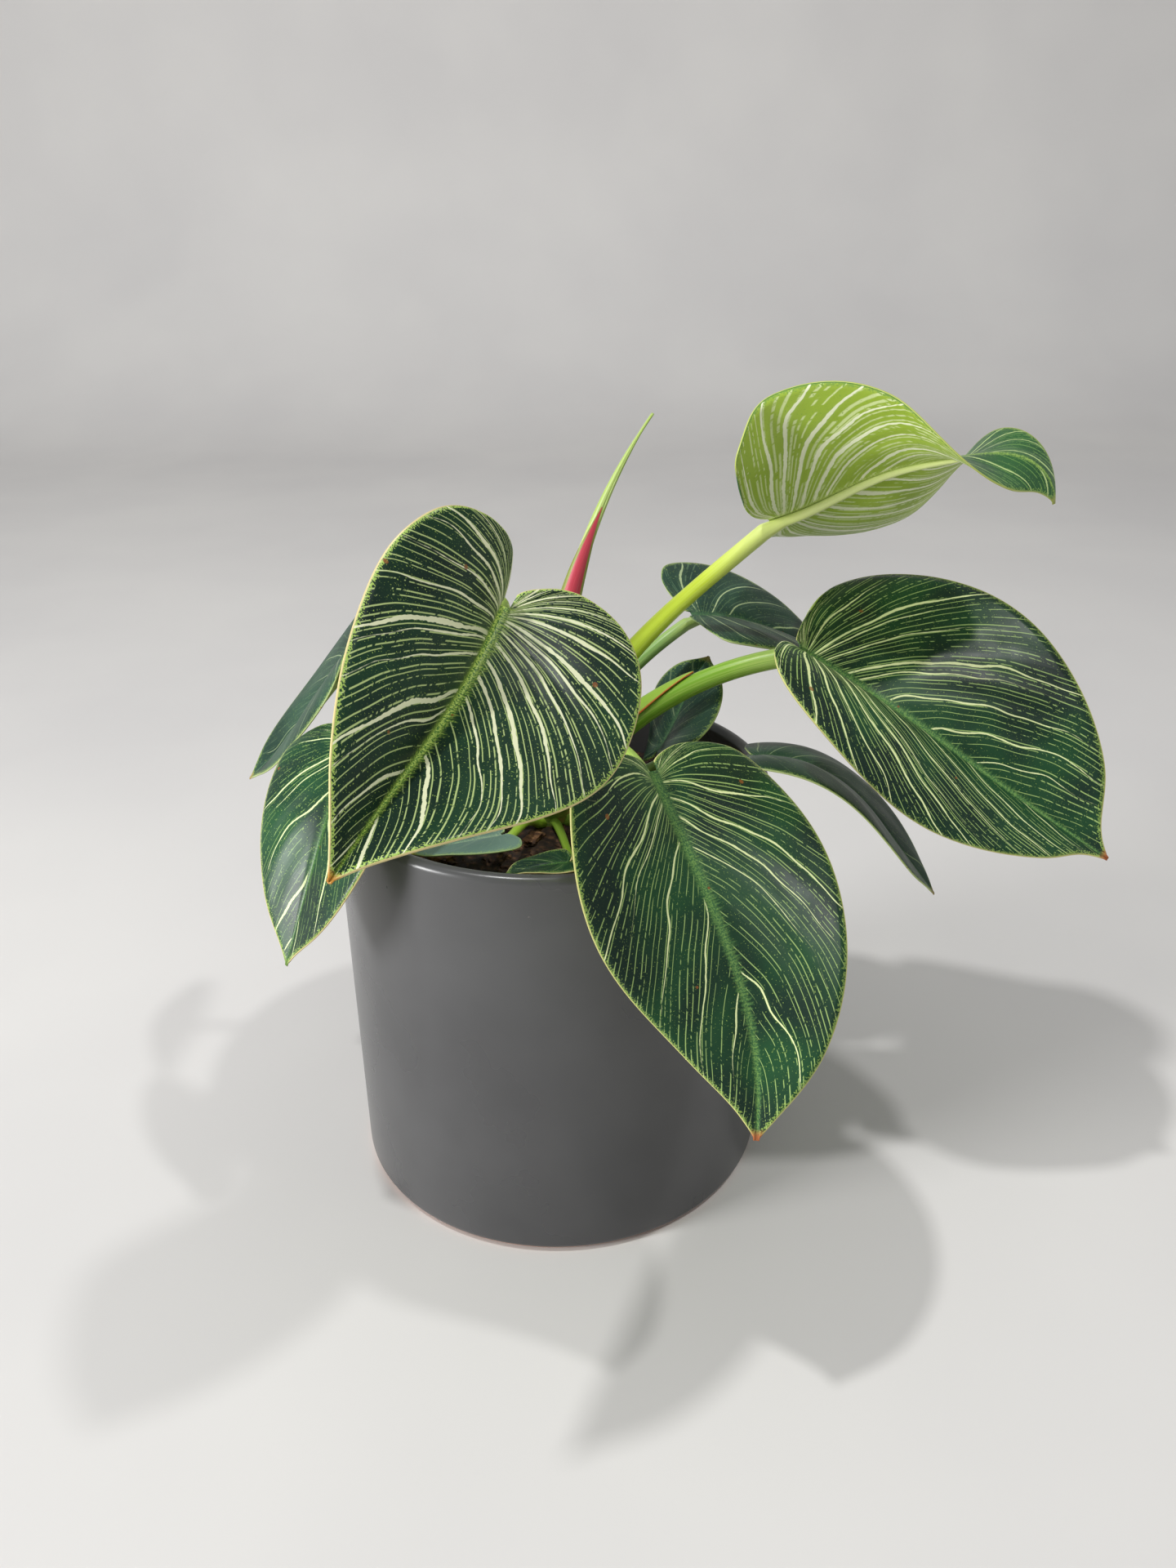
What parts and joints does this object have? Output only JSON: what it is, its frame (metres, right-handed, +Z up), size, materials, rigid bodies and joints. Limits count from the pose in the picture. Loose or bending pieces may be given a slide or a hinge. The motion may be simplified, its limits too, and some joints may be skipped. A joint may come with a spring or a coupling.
{
  "type": "potted philodendron",
  "caption": "White-striped philodendron with heart-shaped leaves on arching stalks and a rolled new leaf, growing from bark mix in a round dark ceramic pot.",
  "frame": {"origin": "centre of the pot's base, on the surface that it stands on", "axes": "+Z up along the pot's axis, -Y towards the side with the two large drooping leaves, +X towards the highest and the widest leaf"},
  "size_m": [0.3482, 0.2839, 0.3344],
  "materials": {
    "glaze": "satin",
    "mix": "matte",
    "bark": "matte",
    "root": "matte",
    "stem": "satin",
    "leaf": "satin",
    "stalk": "satin",
    "stalk_sheath": "satin",
    "new_leaf": "satin",
    "new_sheath": "satin"
  },
  "bodies": {
    "root": {"pot": "glaze", "potting_mix": "mix", "main_stem": "stem", "root_1": "root", "root_2": "root", "root_3": "root", "root_4": "root", "root_5": "root", "bark_chip_1": "bark", "bark_chip_2": "bark", "bark_chip_3": "bark", "bark_chip_4": "bark", "bark_chip_5": "bark", "bark_chip_6": "bark", "bark_chip_7": "bark", "bark_chip_8": "bark", "leaf_front_left": "leaf", "leaf_front_right": "leaf", "leaf_right": "leaf", "leaf_top_right": "leaf", "leaf_back_right": "leaf", "leaf_back_small": "leaf", "leaf_low_right": "leaf", "leaf_low_left": "leaf", "leaf_back_left": "leaf", "leaf_inside_left": "leaf", "leaf_inside_front": "leaf", "petiole_front_left": "stalk", "petiole_front_right": "stalk", "petiole_right": "stalk", "petiole_top_right": "stalk", "petiole_back_right": "stalk", "petiole_back_small": "stalk", "petiole_low_right": "stalk", "petiole_low_left": "stalk", "petiole_back_left": "stalk", "petiole_inside_left": "stalk", "petiole_inside_front": "stalk", "sheath_right": "stalk_sheath", "sheath_back_right": "stalk_sheath", "new_leaf": "new_leaf", "new_leaf_sheath_front": "new_sheath", "new_leaf_sheath_back": "new_sheath"}
  },
  "joints": []
}
